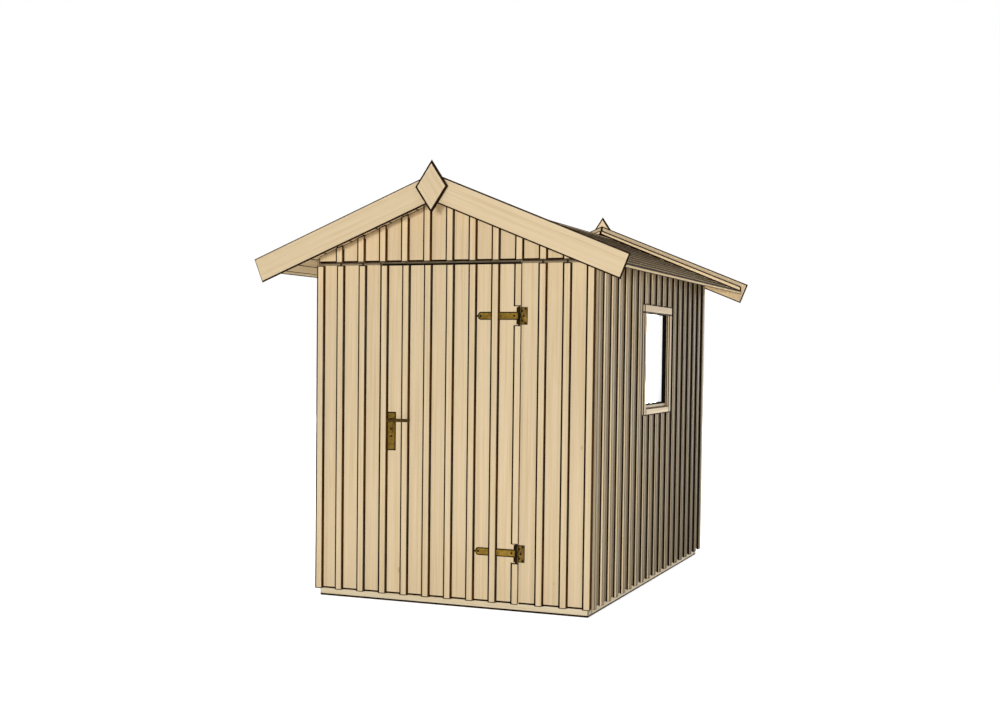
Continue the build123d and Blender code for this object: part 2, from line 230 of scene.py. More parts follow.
def linear(colour):
    """sRGB hex colour as linear RGBA."""
    shares = [int(colour[i:i + 2], 16) / 255 for i in (1, 3, 5)]
    return [s / 12.92 if s <= 0.04045 else ((s + 0.055) / 1.055) ** 2.4 for s in shares] + [1.0]


def add(tree, kind, inputs=None, **settings):
    """Add a node. Inputs take a value or another node's output, and settings are the node's own."""
    made = tree.nodes.new("ShaderNode" + kind)
    for name, value in settings.items():
        setattr(made, name, value)
    for socket, value in (inputs or {}).items():
        if isinstance(value, bpy.types.NodeSocket):
            tree.links.new(value, made.inputs[socket])
        else:
            made.inputs[socket].default_value = value
    return made


def new_material(name):
    """An empty material and its node tree."""
    material = bpy.data.materials.new(name)
    material.use_nodes = True
    material.node_tree.nodes.clear()
    return material, material.node_tree


def ramp(tree, factor, *stops):
    """Colour ramp over (place, colour) stops."""
    made = add(tree, "ValToRGB", {"Fac": factor})
    elements = made.color_ramp.elements
    while len(elements) < len(stops):
        elements.new(1)
    for element, (place, colour) in zip(elements, stops):
        element.position = place
        element.color = linear(colour)
    return made.outputs["Color"]


# Materials
def planed_softwood(name, early, mid, late, knot, gloss):
    """Planed, unfinished spruce: pale early wood with warmer rings along the stick, and a few small knots."""
    ring_width, ring_length = 14 * MM, 900 * MM
    fibre_width, fibre_length = 3 * MM, 160 * MM
    knot_gap, knot_stretch = 260 * MM, 520 * MM
    material, tree = new_material(name)
    grain = add(tree, "Attribute", attribute_name="grain").outputs["Vector"]
    tone = add(tree, "Attribute", attribute_name="tone").outputs["Fac"]

    # Rings, bent a little as they pass along the stick
    stretch = (1 / ring_width, 1 / ring_length, 1 / ring_width)
    along = add(tree, "Mapping", {"Vector": grain, "Scale": stretch}).outputs["Vector"]
    rings = add(tree, "TexNoise", {"Vector": along, "Scale": 1, "Detail": 3, "Roughness": 0.55,
                                   "Distortion": 0.6})
    colour = ramp(tree, rings.outputs["Fac"], (0.30, late), (0.48, mid), (0.70, early))

    # Fibres, drawn coarser than real ones so that they show at all
    stretch = (1 / fibre_width, 1 / fibre_length, 1 / fibre_width)
    along = add(tree, "Mapping", {"Vector": grain, "Scale": stretch}).outputs["Vector"]
    fibres = add(tree, "TexNoise", {"Vector": along, "Scale": 1, "Detail": 2, "Roughness": 0.6})
    shade = add(tree, "MapRange", {"Value": fibres.outputs["Fac"], "From Min": 0.3, "From Max": 0.7,
                                   "To Min": 0.97, "To Max": 1.02})

    # Knots, a few to a stick
    stretch = (1 / knot_gap, 1 / knot_stretch, 1 / knot_gap)
    spread = add(tree, "Mapping", {"Vector": grain, "Scale": stretch}).outputs["Vector"]
    spots = add(tree, "TexVoronoi", {"Vector": spread, "Scale": 1, "Randomness": 1})
    core = add(tree, "MapRange", {"Value": spots.outputs["Distance"], "From Min": 0.022, "From Max": 0.05,
                                  "To Min": 0.55, "To Max": 0}, interpolation_type="SMOOTHSTEP")
    mixed = add(tree, "Mix", {0: core.outputs["Result"], 6: colour, 7: linear(knot)}, data_type="RGBA")

    # Each stick is a little lighter or darker than the next
    value = add(tree, "Math", {0: tone, 1: shade.outputs["Result"]}, operation="MULTIPLY").outputs[0]
    toned = add(tree, "HueSaturation", {"Value": value, "Color": mixed.outputs[2]})
    rough = add(tree, "MapRange", {"Value": rings.outputs["Fac"], "To Min": 0.72, "To Max": 0.56})
    height = add(tree, "Math", {0: rings.outputs["Fac"], 1: fibres.outputs["Fac"]}, operation="ADD")
    bump = add(tree, "Bump", {"Height": height.outputs[0], "Strength": 0.25, "Distance": 0.4 * MM})
    skin = add(tree, "BsdfPrincipled", {"Base Color": toned.outputs["Color"], "IOR": 1.45,
                                        "Normal": bump.outputs["Normal"], "Specular IOR Level": gloss,
                                        "Roughness": rough.outputs["Result"]})
    add(tree, "OutputMaterial", {"Surface": skin.outputs[0]})
    return material


def shade_edge_material(name, shade_colour, worn):
    """Painted shade on eased edges and in rebates: dark brown, and paler in random stretches."""
    patch_length, patch_width = 180 * MM, 30 * MM
    material, tree = new_material(name)
    grain = add(tree, "Attribute", attribute_name="grain").outputs["Vector"]
    stretch = (1 / patch_width, 1 / patch_length, 1 / patch_width)
    along = add(tree, "Mapping", {"Vector": grain, "Scale": stretch}).outputs["Vector"]
    patches = add(tree, "TexNoise", {"Vector": along, "Scale": 1, "Detail": 2})
    colour = ramp(tree, patches.outputs["Fac"], (0.45, shade_colour), (0.75, worn))
    skin = add(tree, "BsdfPrincipled", {"Base Color": colour, "Roughness": 0.8, "IOR": 1.45,
                                        "Specular IOR Level": 0.05})
    add(tree, "OutputMaterial", {"Surface": skin.outputs[0]})
    return material


def antique_brass(name, bright, dull, roughness):
    """Cast and satin-brushed brass with a brown patina that lies in soft patches."""
    patch, grit, dulling = 18 * MM, 1.2 * MM, 0.12
    material, tree = new_material(name)
    place = add(tree, "TexCoord").outputs["Object"]
    patches = add(tree, "TexNoise", {"Vector": place, "Scale": 1 / patch, "Detail": 4, "Roughness": 0.6})
    colour = ramp(tree, patches.outputs["Fac"], (0.35, dull), (0.65, bright))
    grains = add(tree, "TexNoise", {"Vector": place, "Scale": 1 / grit, "Detail": 2})
    rough = add(tree, "MapRange", {"Value": patches.outputs["Fac"], "From Min": 0.3, "From Max": 0.7,
                                   "To Min": roughness + dulling, "To Max": roughness})
    bump = add(tree, "Bump", {"Height": grains.outputs["Fac"], "Strength": 0.15, "Distance": 0.1 * MM})
    skin = add(tree, "BsdfPrincipled", {"Base Color": colour, "Metallic": 1, "Normal": bump.outputs["Normal"],
                                        "Roughness": rough.outputs["Result"]})
    add(tree, "OutputMaterial", {"Surface": skin.outputs[0]})
    return material


def opal_acrylic(name, white):
    """Opal acrylic sheet: milky and glossy, with faint waves from the roller, and painted light: it glows
    white by itself.
    """
    wave = 140 * MM
    material, tree = new_material(name)
    place = add(tree, "TexCoord").outputs["Object"]
    waves = add(tree, "TexNoise", {"Vector": place, "Scale": 1 / wave, "Detail": 1})
    bump = add(tree, "Bump", {"Height": waves.outputs["Fac"], "Strength": 0.1, "Distance": 1 * MM})
    colour = ramp(tree, waves.outputs["Fac"], (0.2, white), (0.8, "#FFFFFF"))
    # Painted light: an emission that makes the pane glow white
    skin = add(tree, "BsdfPrincipled", {"Base Color": colour, "Roughness": 0.12, "IOR": 1.49,
                                        "Normal": bump.outputs["Normal"], "Emission Color": linear("#FFFFFF"),
                                        "Emission Strength": 0.6})
    add(tree, "OutputMaterial", {"Surface": skin.outputs[0]})
    return material


def black_rubber(name, black, dusty):
    """Extruded EPDM gasket: matt black with a trace of dust."""
    speck = 6 * MM
    material, tree = new_material(name)
    place = add(tree, "TexCoord").outputs["Object"]
    specks = add(tree, "TexNoise", {"Vector": place, "Scale": 1 / speck, "Detail": 3})
    colour = ramp(tree, specks.outputs["Fac"], (0.4, black), (0.8, dusty))
    skin = add(tree, "BsdfPrincipled", {"Base Color": colour, "Roughness": 0.85, "IOR": 1.5,
                                        "Specular IOR Level": 0.05})
    add(tree, "OutputMaterial", {"Surface": skin.outputs[0]})
    return material


def shade_strip_material(name, black, dusty):
    """Dark strip laid as painted shade: dull brown-black, with coarse fibres along and across it."""
    fibre = 5 * MM
    material, tree = new_material(name)
    place = add(tree, "TexCoord").outputs["Object"]
    fibres = add(tree, "TexNoise", {"Vector": place, "Scale": 1 / fibre, "Detail": 4, "Distortion": 1.5})
    colour = ramp(tree, fibres.outputs["Fac"], (0.4, black), (0.7, dusty))
    bump = add(tree, "Bump", {"Height": fibres.outputs["Fac"], "Strength": 0.4, "Distance": 0.5 * MM})
    skin = add(tree, "BsdfPrincipled", {"Base Color": colour, "Roughness": 0.9, "IOR": 1.45,
                                        "Specular IOR Level": 0.05, "Normal": bump.outputs["Normal"]})
    add(tree, "OutputMaterial", {"Surface": skin.outputs[0]})
    return material


# Painted shade: dark brown on the timber's eased arrises, rebates, drip bevels and feet
ARRIS_SHADE = shade_edge_material("arris with painted shade", "#1B0F06", "#34210E")
# Painted shade on the sides of the end walls' battens and on the boards' ends at the corners
BATTEN_SIDE_SHADE = shade_edge_material("painted shade on batten sides", "#5A3E20", "#785630")
SPRUCE = planed_softwood("planed spruce", "#E0CBA7", "#DBC5A0", "#D3BA92", "#AD8A60", 0.05)
ROOF_SPRUCE = planed_softwood("sawn roof spruce", "#DDC8A3", "#D7C19B", "#CBB289", "#9C7850", 0.0)
BEARER_SPRUCE = planed_softwood("bearer spruce", "#E0D2B4", "#DACAAB", "#D0BD99", "#A37D52", 0.05)
PATINA = antique_brass("brown brass patina", "#241B0C", "#120D06", 0.55)
STRAP_BRASS = antique_brass("antique brass", "#846A2B", "#654F1F", 0.45)
# Painted shade: a darker copy of the strap's brass, which damps the lamps' reflections on the leaves
LEAF_BRASS = antique_brass("leaf brass with painted shade", "#6A5326", "#4A3A1D", 0.5)
PLATE_BRASS = antique_brass("dark plate brass", "#785E27", "#5A461C", 0.45)
LEVER_BRASS = antique_brass("dark lever brass", "#5A4520", "#392B12", 0.4)
OPAL = opal_acrylic("opal acrylic with painted glow", "#F6F6F4")
RUBBER = black_rubber("black rubber", "#040404", "#0C0C0B")
SHADE_PACKING = shade_strip_material("black strip of painted shade", "#120A04", "#261809")

TIMBER_FINISHES = {
    "pale_timber": [SPRUCE, ARRIS_SHADE, BATTEN_SIDE_SHADE],
    "roof_timber": [ROOF_SPRUCE, ARRIS_SHADE],
    "bearer_timber": [BEARER_SPRUCE, ARRIS_SHADE],
}
BRASS_FINISHES = {
    "hinge_straps": [STRAP_BRASS, PATINA],
    "hinge_leaves": [LEAF_BRASS, PATINA],
    "handle_plates": [PLATE_BRASS, PATINA],
    "lever_handle": [LEVER_BRASS],
}
SLOTS = {part["node"]: part["material_slot"] for part in frame["record"]["subparts"]}


# Shaping
def merged_copy(node):
    """A CAD piece as a bmesh, with its loose triangles joined and its flat faces made whole."""
    bm = bmesh.new()
    bm.from_mesh(frame["nodes"][node].data)
    bmesh.ops.remove_doubles(bm, verts=bm.verts, dist=WELD)
    bmesh.ops.dissolve_limit(bm, angle_limit=FLAT_ANGLE, verts=bm.verts, edges=bm.edges)
    return bm


def sticks(bm):
    """Vertices in groups that hang together, one group for each stick or board."""
    left = set(bm.verts)
    groups = []
    for first in bm.verts:
        if first not in left:
            continue
        left.discard(first)
        group = [first]
        for vert in group:
            for edge in vert.link_edges:
                other = edge.other_vert(vert)
                if other in left:
                    left.discard(other)
                    group.append(other)
        groups.append(group)
    return groups


def stick_boxes(node):
    """Lowest and highest corner of each stick of a CAD piece."""
    bm = merged_copy(node)
    boxes = []
    for group in sticks(bm):
        places = [vert.co for vert in group]
        low = Vector(min(p[i] for p in places) for i in range(3))
        high = Vector(max(p[i] for p in places) for i in range(3))
        boxes.append((low, high))
    bm.free()
    return boxes


def middles(axis, *nodes):
    """Middle of each stick of some nodes along an axis."""
    return [(low[axis] + high[axis]) / 2 for node in nodes for low, high in stick_boxes(node)]


def between(pair, share):
    """Value that lies a share of the way from the first of a pair to the second."""
    first, second = pair
    return first + (second - first) * share


def sharp_edges(bm, angle=SHARP_ANGLE):
    """Edges whose faces turn by more than an angle."""
    return [edge for edge in bm.edges if edge.is_manifold and edge.calc_face_angle() > angle]


def outer_faces(bm, outward):
    """The outermost face of each stick."""
    found = []
    for group in sticks(bm):
        outer = max(outward.dot(vert.co) for vert in group)
        near = {vert for vert in group if outward.dot(vert.co) > outer - WELD}
        touched = {face for vert in near for face in vert.link_faces}
        found += [face for face in touched if near.issuperset(face.verts)]
    return found


def ease(bm, edges, width, material_index):
    """Chamfer some edges, and give the new faces a material."""
    made = bmesh.ops.bevel(bm, geom=edges, offset=width, offset_type="OFFSET", affect="EDGES",
                           segments=1, profile=0.5, material=-1, clamp_overlap=False)
    for face in made["faces"]:
        face.material_index = material_index


def darken(faces):
    """Give some faces the painted shade of a dark arris."""
    for face in faces:
        face.material_index = ARRIS_SLOT


def cut(bm, place, outward, clear_outer=False):
    """Cut a piece along a plane, and close the cut where what lies outside is cleared away."""
    everything = bm.verts[:] + bm.edges[:] + bm.faces[:]
    bmesh.ops.bisect_plane(bm, geom=everything, plane_co=place, plane_no=outward, clear_outer=clear_outer)
    if clear_outer:
        bmesh.ops.holes_fill(bm, edges=[edge for edge in bm.edges if edge.is_boundary])


def join(total, piece):
    """Add a piece to a larger one."""
    mesh = bpy.data.meshes.new("joined")
    piece.to_mesh(mesh)
    piece.free()
    total.from_mesh(mesh)
    bpy.data.meshes.remove(mesh)


def box_between(bm, low, high):
    """A box between two corners."""
    size = Vector(high) - Vector(low)
    place = Matrix.Translation((Vector(low) + Vector(high)) / 2) @ Matrix.Diagonal((*size, 1))
    return bmesh.ops.create_cube(bm, size=1, matrix=place)["verts"]


def even(share):
    """The same tone for every face."""
    return lambda face: share


def lay_grain(bm, along=None, lift=even(1.0)):
    """Give each stick its own place in the timber, with its grain along it, and its own tone."""
    grain = bm.verts.layers.float_vector.new("grain")
    tone = bm.faces.layers.float.new("tone")
    for group in sticks(bm):
        edges = [edge for vert in group for edge in vert.link_edges]
        longest = max(edges, key=lambda edge: edge.calc_length())
        run = along or (longest.verts[1].co - longest.verts[0].co).normalized()
        side = run.cross(RIGHT if abs(run.y) > FACING_SHARE else BACK).normalized()
        through = run.cross(side)
        offset = Vector([chance.uniform(-GRAIN_REACH, GRAIN_REACH) for _ in range(3)])
        shade = chance.uniform(*STICK_TONES)
        for vert in group:
            vert[grain] = Vector((side.dot(vert.co), run.dot(vert.co), through.dot(vert.co))) + offset
        for face in {face for vert in group for face in vert.link_faces}:
            face[tone] = shade * lift(face)


def finished(name, bm, body, materials, nodes=()):
    """Make the object of a shaped piece, on its body, in place of the CAD pieces that it stands for."""
    mesh = bpy.data.meshes.new(name)
    bm.to_mesh(mesh)
    bm.free()
    for material in materials:
        mesh.materials.append(material)
    obj = bpy.data.objects.new(name, mesh)
    bpy.context.scene.collection.objects.link(obj)
    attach(obj, body)
    if nodes:
        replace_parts(obj, *nodes)
    return obj


def timber(name, bm, node, arris, along=None, lift=even(1.0), crisp=None):
    """Finish a timber piece: eased arrises with painted shade, grain, and the material of the node that it
    stands for.

    Edges along a crisp direction stay sharp.
    """
    edges = sharp_edges(bm, SQUARE_ANGLE)
    if crisp:
        runs = {edge: (edge.verts[0].co - edge.verts[1].co).normalized() for edge in edges}
        edges = [edge for edge in edges if abs(runs[edge].dot(crisp)) < FACING_SHARE]
    ease(bm, edges, arris, ARRIS_SLOT)
    lay_grain(bm, along, lift)
    slot = SLOTS[node]
    finished(name, bm, frame["nodes"][node]["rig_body"], TIMBER_FINISHES[slot], [node])


def boards(node, direction, joints, gap):
    """A slab cut into boards at joints, which are distances along a direction."""
    whole = merged_copy(node)
    reach = [direction.dot(vert.co) for vert in whole.verts]
    low, high = min(reach), max(reach)
    inner = [j for j in sorted(joints) if low + NARROWEST_BOARD < j < high - NARROWEST_BOARD]
    stops = [low - gap, *inner, high + gap]
    total = bmesh.new()
    for start, end in zip(stops[:-1], stops[1:]):
        board = whole.copy()
        cut(board, direction * (start + gap / 2), -direction, clear_outer=True)
        cut(board, direction * (end - gap / 2), direction, clear_outer=True)
        join(total, board)
    whole.free()
    return total


# Walls: boards whose joints lie under the battens
def drip_bevel(bm, outward, width):
    """A wide bevel along the foot of a wall, which sheds the rain, dark with painted shade."""
    face = max(outward.dot(vert.co) for vert in bm.verts)
    foot = min(vert.co.z for vert in bm.verts)
    low = {vert for vert in bm.verts if outward.dot(vert.co) > face - WELD and vert.co.z < foot + WELD}
    ease(bm, [edge for edge in bm.edges if low.issuperset(edge.verts)], width, ARRIS_SLOT)


def side_shade(face, tones=SIDE_SHADE_TONES):
    """Tone of the long sides: painted shade that grows darker towards the back, and none on the inside."""
    middle = face.calc_center_median()
    if middle.x * face.normal.x < 0:
        return 1.0
    return between(tones, (middle.y - cad_low.y) / (cad_high.y - cad_low.y))


def end_walls():
    """Front wall, door and back wall: painted shade in the recess over the battens' tops, and painted shade
    on the boards' ends round the corners.
    """
    front_joints = middles(0, "front_battens", "door_battens")
    back_joints = middles(0, "back_battens")
    batten_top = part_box("front_battens")[1].z
    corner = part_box("front_wall_right")[1].x

    # Painted shade darkens the boards over the battens' tops, in the recess under the gable
    def recess_shade(face):
        return RECESS_SHADE_TONE if face.calc_center_median().z > batten_top else END_WALL_TONE

    for node in ("front_wall_left", "front_wall_right", "door_boards", "back_wall"):
        at_back = node == "back_wall"
        bm = boards(node, RIGHT, back_joints if at_back else front_joints, BOARD_GAP)
        cut(bm, UP * batten_top, UP)
        drip_bevel(bm, BACK if at_back else -BACK, DRIP_BEVEL)
        for face in bm.faces:
            # The boards' ends at the corners get painted shade
            if abs(face.normal.x) > FACING_SHARE and abs(face.calc_center_median().x) > corner - WELD:
                face.material_index = SIDE_SHADE_SLOT
        timber(node + "_planed", bm, node, BOARD_ARRIS, UP, recess_shade)


def side_walls():
    """Left wall, and right wall round the window."""
    joints = middles(1, "left_battens")
    for node in ("left_wall", "right_wall_front", "right_wall_back", "right_wall_below", "right_wall_above"):
        bm = boards(node, BACK, joints, BOARD_GAP)
        drip_bevel(bm, -RIGHT if node == "left_wall" else RIGHT, DRIP_BEVEL)
        timber(node + "_planed", bm, node, BOARD_ARRIS, UP, side_shade)


def gables():
    """Panels of both gables."""
    bm = boards("gable_panels", RIGHT, middles(0, "gable_battens"), BOARD_GAP)
    for outward in (BACK, -BACK):
        drip_bevel(bm, outward, GABLE_DRIP_BEVEL)
    timber("gable_panels_planed", bm, "gable_panels", BOARD_ARRIS, UP)


# Roof and floor
def slope_axes(side):
    """Directions down a slope of the roof and out of it. Side is 1 on the right and -1 on the left."""
    down = Vector((side * math.cos(ROOF_PITCH), 0, -math.sin(ROOF_PITCH)))
    out = Vector((side * math.sin(ROOF_PITCH), 0, math.cos(ROOF_PITCH)))
    return down, out


def roof():
    """Narrow boards laid from the eaves up, each with its foot over the head of the one below."""
    # Painted shade darkens the boards' tops, which the lamp overhead lights, and painted light lifts their
    # undersides under the eaves
    def roof_light_and_shade(face):
        return SOFFIT_LIGHT_TONE if face.normal.z < -FACING_SHARE else ROOF_TOP_SHADE_TONE

    for node, side in (("roof_right", 1), ("roof_left", -1)):
        down, out = slope_axes(side)
        reach = [down.dot(vert.co) for vert in frame["nodes"][node].data.vertices]
        ridge, eave = min(reach), max(reach)
        count = int((eave - ridge) / ROOF_COVER)
        bm = boards(node, down, [eave - ROOF_COVER * k for k in range(1, count + 1)], ROOF_JOINT)
        for board in sticks(bm):
            face = max(out.dot(vert.co) for vert in board)
            top = [vert for vert in board if out.dot(vert.co) > face - WELD]
            low = max(down.dot(vert.co) for vert in top)
            foot = [vert for vert in top if down.dot(vert.co) > low - WELD]
            head = [vert for vert in top if vert not in foot and abs(vert.co.x) > ROOF_COVER / 2]
            bmesh.ops.translate(bm, verts=foot, vec=out * ROOF_LAP)
            bmesh.ops.translate(bm, verts=head, vec=-out * ROOF_LAP)
        timber(node + "_planed", bm, node, ROOF_ARRIS, BACK, roof_light_and_shade)


def floor_boards():
    """Boards from the front to the back, of one width."""
    low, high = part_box("floor_deck")
    count = int((high.x - low.x) // FLOOR_COVER)
    joints = [low.x + (high.x - low.x) * k / count for k in range(1, count)]
    bm = boards("floor_deck", RIGHT, joints, FLOOR_JOINT)
    timber("floor_deck_planed", bm, "floor_deck", PLAIN_ARRIS, BACK)


# Battens
def end_battens(node, *outwards):
    """Battens of the end walls, the door and the gables.

    A dark rebate of painted shade runs round the face, widest on the left of one who looks at it, and the
    sides carry painted shade.
    """
    bm = merged_copy(node)
    faces = [face for outward in outwards for face in outer_faces(bm, outward)
             if face.calc_center_median().y * face.normal.y > 0]
    for face in bm.faces:
        # The battens' sides get painted shade
        face.material_index = SIDE_SHADE_SLOT if abs(face.normal.x) > FACING_SHARE else 0
    for face in faces:
        bmesh.ops.translate(bm, verts=face.verts, vec=-face.normal * BATTEN_FALL)
    rebate = bmesh.ops.inset_individual(bm, faces=faces, thickness=BATTEN_REBATE, depth=BATTEN_FALL,
                                        use_even_offset=True)
    darken(rebate["faces"])
    for face in faces:
        rightward = UP.cross(face.normal)
        edge = max(rightward.dot(vert.co) for vert in face.verts)
        right = [vert for vert in face.verts if rightward.dot(vert.co) > edge - WELD]
        bmesh.ops.translate(bm, verts=right, vec=rightward * (BATTEN_REBATE - BATTEN_RIGHT_REBATE))
        middle = face.calc_center_median().z
        for up in (-1, 1):
            end = [vert for vert in face.verts if (vert.co.z - middle) * up > 0]
            bmesh.ops.translate(bm, verts=end, vec=UP * up * (BATTEN_REBATE - BATTEN_END_REBATE))
    timber(node + "_planed", bm, node, BATTEN_ARRIS, UP, even(END_BATTEN_TONE))


def side_battens(node, outward):
    """Battens of the long sides: faces with painted shade like the boards, and edges with painted light."""
    bm = merged_copy(node)
    # A dark rebate of painted shade runs round each batten's face
    rebate = bmesh.ops.inset_individual(bm, faces=outer_faces(bm, outward), thickness=SIDE_BATTEN_REBATE,
                                        use_even_offset=True)
    darken(rebate["faces"])
    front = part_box(node)[0].y
    last = max(low.y for low, high in stick_boxes(node))

    def edged(face):
        """Tone of a face. The edge at the front corner gets no painted light, and the batten at the back
        corner is paler, at a fixed tone.
        """
        place = face.calc_center_median().y
        if place > last + WELD:
            return BACK_CORNER_TONE
        lit_edge = abs(face.normal.y) > FACING_SHARE and place > front + WELD
        return side_shade(face, SIDE_EDGE_LIGHT_TONES if lit_edge else SIDE_SHADE_TONES)

    timber(node + "_planed", bm, node, BATTEN_ARRIS, UP, edged)


def battens():
    """Battens of every wall and of the door."""
    end_battens("front_battens", -BACK)
    end_battens("door_battens", -BACK)
    end_battens("back_battens", BACK)
    end_battens("gable_battens", BACK, -BACK)
    side_battens("left_battens", -RIGHT)
    side_battens("right_battens", RIGHT)


def packing(node, boards_node):
    """Strips of black packing under the battens, which show as a line of painted shade beside each.

    They don't reach past the boards that they lie on, or past the outer battens where these stand at the
    boards' ends, and leave room for the hinges' straps on the door.
    """
    straps = sorted(stick_boxes("hinge_straps"), key=lambda box: box[0].z)
    on_side = node in ("left_battens", "right_battens")
    across, through = (1, 0) if on_side else (0, 1)
    margin = SIDE_PACKING_MARGIN if on_side else PACKING_MARGIN
    limit_low, limit_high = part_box(boards_node)
    bm = bmesh.new()
    for low, high in stick_boxes(node):
        crossing = [box for box in straps if node == "door_battens" and box[0].x + STRAP_NIB < high.x]
        share = (low.y - limit_low.y) / (limit_high.y - limit_low.y)
        thk = between(SIDE_PACKING_THKS, share) if on_side else PACKING_THK
        low[across] = max(low[across] - margin, limit_low[across])
        high[across] = min(high[across] + margin, limit_high[across])
        if low[through] > 0:
            high[through] = low[through] + thk
        else:
            low[through] = high[through] - thk
        if node == "gable_battens":
            high.z -= (high.x - low.x) * math.tan(ROOF_PITCH)
        stops = [low.z]
        for strap_low, strap_high in crossing:
            if low.z < strap_low.z < high.z:
                stops += [strap_low.z, strap_high.z]
        stops.append(high.z)
        for bottom, top in zip(stops[::2], stops[1::2]):
            box_between(bm, (low.x, low.y, bottom), (high.x, high.y, top))
    finished(node + "_packing", bm, frame["nodes"][node]["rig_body"], [SHADE_PACKING])


# Frame, trim and joinery
def deepen_bargeboard(bm):
    """A little more depth under the board and more length at its tail, as the real one shows."""
    lower = min(bm.faces, key=lambda face: face.normal.z)
    ridge = [vert for vert in lower.verts if abs(vert.co.x) < WELD]
    others = [vert for vert in lower.verts if vert not in ridge]
    bmesh.ops.translate(bm, verts=ridge, vec=-UP * BARGE_DROP / math.cos(ROOF_PITCH))
    bmesh.ops.translate(bm, verts=others, vec=lower.normal * BARGE_DROP)
    tail = max(bm.faces, key=lambda face: abs(face.calc_center_median().x))
    bmesh.ops.translate(bm, verts=tail.verts, vec=tail.normal * BARGE_REACH)


def grow_finial(bm, node):
    """A little more size, as the real one shows, with painted shade on the sides and a rim of painted shade
    round both faces.
    """
    low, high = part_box(node)
    bmesh.ops.scale(bm, vec=(FINIAL_GROWTH, 1, FINIAL_GROWTH), verts=bm.verts,
                    space=Matrix.Translation(-(low + high) / 2))
    faces = [face for face in bm.faces if abs(face.normal.y) > FACING_SHARE]
    bmesh.ops.inset_individual(bm, faces=faces, thickness=FINIAL_RIM, use_even_offset=True)
    darken(face for face in bm.faces if face not in faces)


def paint_fillet_shade(bm, node):
    """Darken the top and the foot of a verge fillet with painted shade, the foot where it meets the roof."""
    side = node.removeprefix("verge_fillets_")
    down, out = slope_axes(1 if side == "right" else -1)
    roof_face = max(out.dot(vert.co) for vert in frame["nodes"]["roof_" + side].data.vertices)
    foot = roof_face + FILLET_FOOT
    cut(bm, out * foot, out)
    darken(face for face in bm.faces
           if face.normal.dot(out) > FACING_SHARE or out.dot(face.calc_center_median()) < foot)


def paint_eave_shade(bm, node):
    """Darken the top and the foot of an eave strip with painted shade."""
    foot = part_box(node)[0].z + EAVE_FOOT
    cut(bm, UP * foot, UP)
    darken(face for face in bm.faces
           if face.normal.z > FACING_SHARE or face.calc_center_median().z < foot)


def paint_bearer_shade(bm):
    """Darken the foot of a bearer with painted shade, where it stands on the floor."""
    cut(bm, UP * BEARER_FOOT, UP)
    darken(face for face in bm.faces if face.calc_center_median().z < BEARER_FOOT)


def other_timbers():
    """Timbers that keep their CAD shapes, or nearly, with eased arrises."""
    done = {obj["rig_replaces"][0] for obj in bpy.data.objects if "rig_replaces" in obj}
    for node in sorted(frame["nodes"]):
        if node in done or SLOTS[node] not in TIMBER_FINISHES:
            continue
        bm = merged_copy(node)
        if node.startswith("bargeboard"):
            deepen_bargeboard(bm)
        elif node.startswith("finial"):
            grow_finial(bm, node)
        elif node.startswith("verge_fillets"):
            paint_fillet_shade(bm, node)
        elif node == "eave_strips":
            paint_eave_shade(bm, node)
        elif node.endswith("bearers"):
            paint_bearer_shade(bm)
        arris, tone = next((look for start, look in TRIM_LOOKS.items() if node.startswith(start)), PLAIN_LOOK)
        crisp = BACK if node.startswith(("bargeboard", "finial")) else None
        timber(node + "_planed", bm, node, arris, lift=even(tone), crisp=crisp)


# Door furniture
def hinge_pin():
    """A point on the axis of the hinges' pins."""
    joints = frame["record"]["behaviour"]["joints"]
    return Vector(next(joint["pos_m"] for joint in joints if joint["name"] == "door_swing"))


def smooth(obj):
    """Round faces shade as round, and edges stay crisp."""
    obj.data.shade_smooth()
    obj.data.set_sharp_from_angle(angle=SMOOTH_ANGLE)


def swell(bm):
    """Thicken the lever's outer grip, which the solid has a little slim."""
    door_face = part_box("door_battens")[0].y
    bm.normal_update()
    for vert in [vert for vert in bm.verts if vert.co.y < door_face]:
        vert.co += vert.normal * LEVER_SWELL


def fittings():
    """Straps, leaves, plates and lever: eased dark rims, and dark nibs and knuckles."""
    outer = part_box("front_wall_right")[0].y - PLATE_THK
    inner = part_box("door_boards")[1].y + PLATE_THK
    pin = hinge_pin().xy
    for node, finish in BRASS_FINISHES.items():
        bm = merged_copy(node)
        if node == "lever_handle":
            swell(bm)
        for face in (outer, inner):
            rim = [edge for edge in sharp_edges(bm)
                   if all(abs(vert.co.y - face) < WELD for vert in edge.verts)]
            ease(bm, rim, PLATE_EDGE, ARRIS_SLOT)
        tip = min(vert.co.x for vert in bm.verts) + STRAP_NIB
        for face in bm.faces:
            middle = face.calc_center_median()
            in_nib = node == "hinge_straps" and middle.x < tip
            in_knuckle = node.startswith("hinge") and (middle.xy - pin).length < KNUCKLE_RADIUS
            if in_nib or in_knuckle:
                face.material_index = ARRIS_SLOT
        smooth(finished(node + "_brass", bm, frame["nodes"][node]["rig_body"], finish, [node]))


